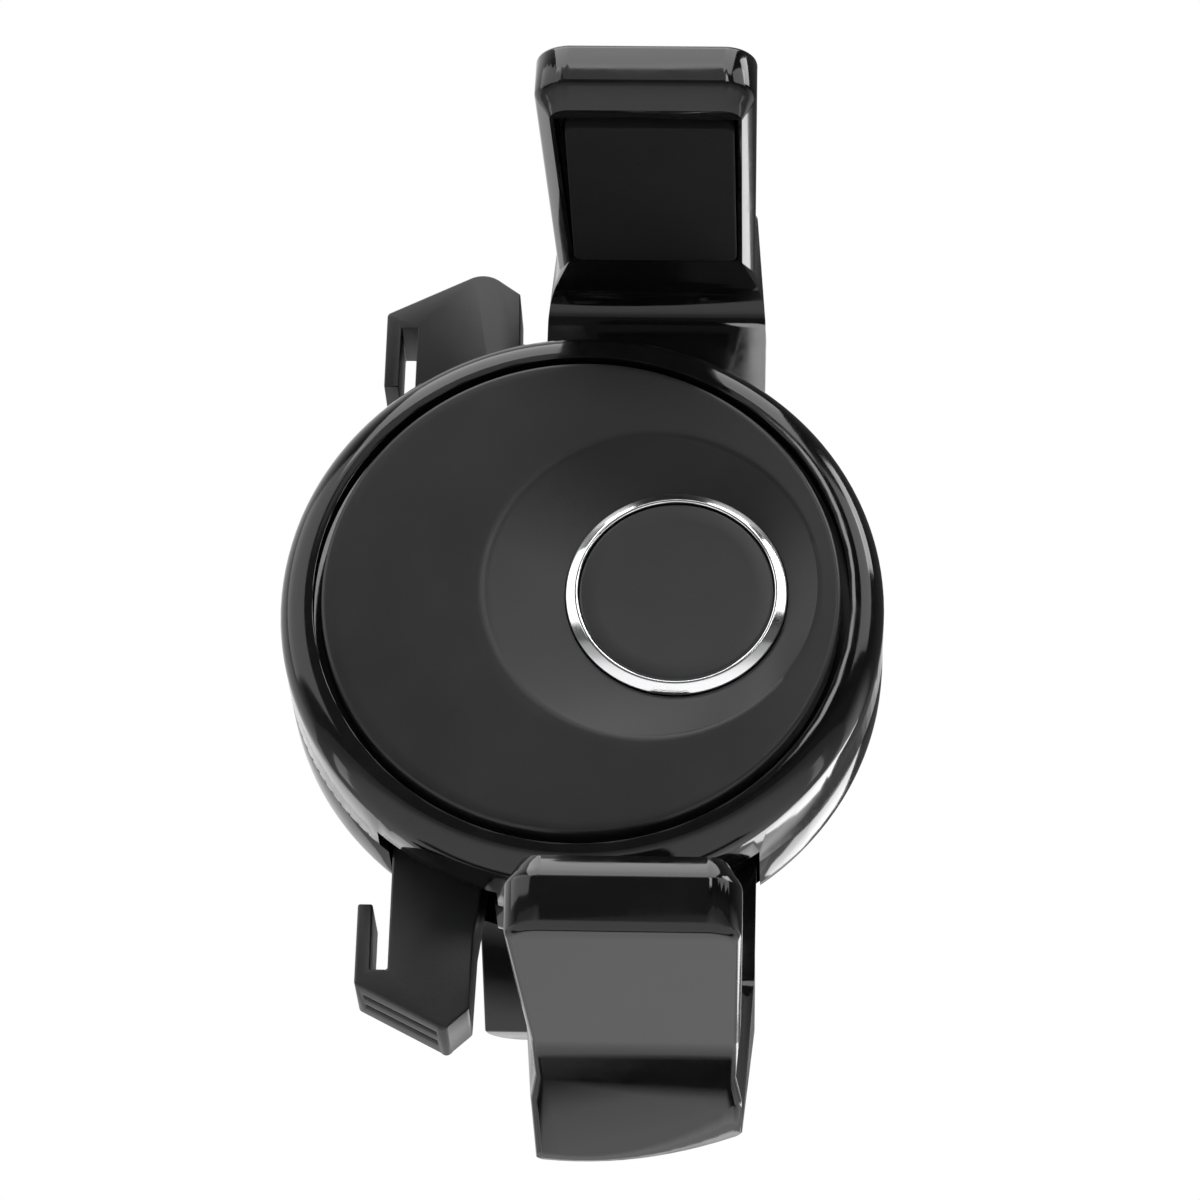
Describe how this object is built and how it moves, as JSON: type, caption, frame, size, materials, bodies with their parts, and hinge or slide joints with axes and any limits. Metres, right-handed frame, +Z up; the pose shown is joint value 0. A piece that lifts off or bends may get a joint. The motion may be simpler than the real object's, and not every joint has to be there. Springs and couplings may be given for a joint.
{
  "type": "air vent phone holder",
  "caption": "Air vent phone holder: round body with sliding clamp arms, release tabs, sprung front button, and a vent clip on a ball joint.",
  "frame": {"origin": "centre of the face plate's front surface, where the phone's back rests", "axes": "+X to the right seen from the phone's side, -Y out of the face towards the phone, +Z up along the clamp arms' travel"},
  "size_m": [0.056, 0.0923, 0.0974],
  "materials": {
    "plate_grey": "fine satin",
    "gloss_black": "gloss",
    "inner_black": "as moulded",
    "cap_grey": "fine satin",
    "bright_trim": "bright",
    "steel": "plain",
    "liner_white": "natural",
    "grip_rubber": "matte",
    "tab_black": "satin"
  },
  "bodies": {
    "clip": {"clip_body": "gloss_black", "upper_jaw_pad": "grip_rubber", "clip_pin": "steel", "clip_spring": "steel"},
    "clip_lever": {"clip_lever": "gloss_black", "lower_jaw_pad": "grip_rubber"},
    "ball_cup": {"ball_liner_cup": "liner_white"},
    "ball_ring": {"ball_liner_ring": "liner_white"},
    "holder": {"face_plate": "plate_grey", "front_housing": "gloss_black", "chassis_plate": "inner_black", "back_housing": "gloss_black", "housing_screws": "steel", "pinion_pin": "steel", "button_spring": "steel", "arm_spring": "steel", "upper_tab_spring": "steel", "lower_tab_spring": "steel", "latch_spring": "steel"},
    "lock_nut": {"lock_nut": "gloss_black"},
    "button": {"button_cap": "cap_grey", "button_trim": "bright_trim"},
    "upper_arm": {"upper_arm": "gloss_black", "upper_arm_pad": "grip_rubber"},
    "lower_arm": {"lower_arm": "gloss_black", "lower_arm_pad": "grip_rubber"},
    "pinion": {"arm_pinion": "liner_white"},
    "upper_tab": {"upper_release_tab": "tab_black"},
    "lower_tab": {"lower_release_tab": "tab_black"},
    "latch": {"latch": "inner_black"}
  },
  "joints": [
    {"name": "clip_squeeze", "type": "hinge", "parent": "clip", "child": "clip_lever", "pos_m": [0, 0.04655, -0.01057], "axis": [-1, 0, 0], "range_deg": [0, 12], "stiffness_Nm_per_rad": 0.05, "springref_deg": -11.46, "deforming": ["clip_spring"]},
    {"name": "ball_tilt", "type": "hinge", "parent": "clip", "child": "ball_cup", "pos_m": [0, 0.0272, 0], "axis": [1, 0, 0], "range_deg": [-38, 2]},
    {"name": "ball_pan", "type": "hinge", "parent": "ball_cup", "child": "ball_ring", "pos_m": [0, 0.0272, 0], "axis": [0, 0, 1], "range_deg": [-12, 12]},
    {"name": "ball_spin", "type": "hinge", "parent": "ball_ring", "child": "holder", "pos_m": [0, 0.0272, 0], "axis": [0, 1, 0], "continuous": true},
    {"name": "nut_turn", "type": "hinge", "parent": "holder", "child": "lock_nut", "pos_m": [0, 0.0272, 0], "axis": [0, 1, 0], "range_deg": [0, 270]},
    {"name": "button_press", "type": "slide", "parent": "holder", "child": "button", "axis": [0, 1, 0], "range_m": [0, 0.002], "stiffness_N_per_m": 300, "springref_m": -0.001, "deforming": ["button_spring"]},
    {"name": "arm_slide", "type": "slide", "parent": "holder", "child": "upper_arm", "axis": [0, 0, 1], "range_m": [-0.005, 0.008], "deforming": ["arm_spring"]},
    {"name": "lower_arm_slide", "type": "slide", "parent": "holder", "child": "lower_arm", "axis": [0, 0, -1], "range_m": [-0.0051, 0.0081]},
    {"name": "pinion_turn", "type": "hinge", "parent": "holder", "child": "pinion", "pos_m": [0.006, 0.01475, 0], "axis": [0, -1, 0], "range_deg": [-66, 104]},
    {"name": "upper_tab_press", "type": "slide", "parent": "holder", "child": "upper_tab", "axis": [0, 0, -1], "range_m": [0, 0.004], "stiffness_N_per_m": 150, "springref_m": -0.002, "deforming": ["upper_tab_spring", "lower_tab_spring", "latch_spring"]},
    {"name": "lower_tab_press", "type": "slide", "parent": "holder", "child": "lower_tab", "axis": [0, 0, 1], "range_m": [0, 0.0041]},
    {"name": "latch_slide", "type": "slide", "parent": "holder", "child": "latch", "axis": [-1, 0, 0], "range_m": [0, 0.0017]}
  ],
  "couplings": [
    {"joint": "lower_arm_slide", "follows": "arm_slide", "ratio": 1},
    {"joint": "pinion_turn", "follows": "arm_slide", "rad_per_m": 222.22},
    {"joint": "lower_tab_press", "follows": "upper_tab_press", "ratio": 1},
    {"joint": "latch_slide", "follows": "upper_tab_press", "ratio": 0.4}
  ]
}
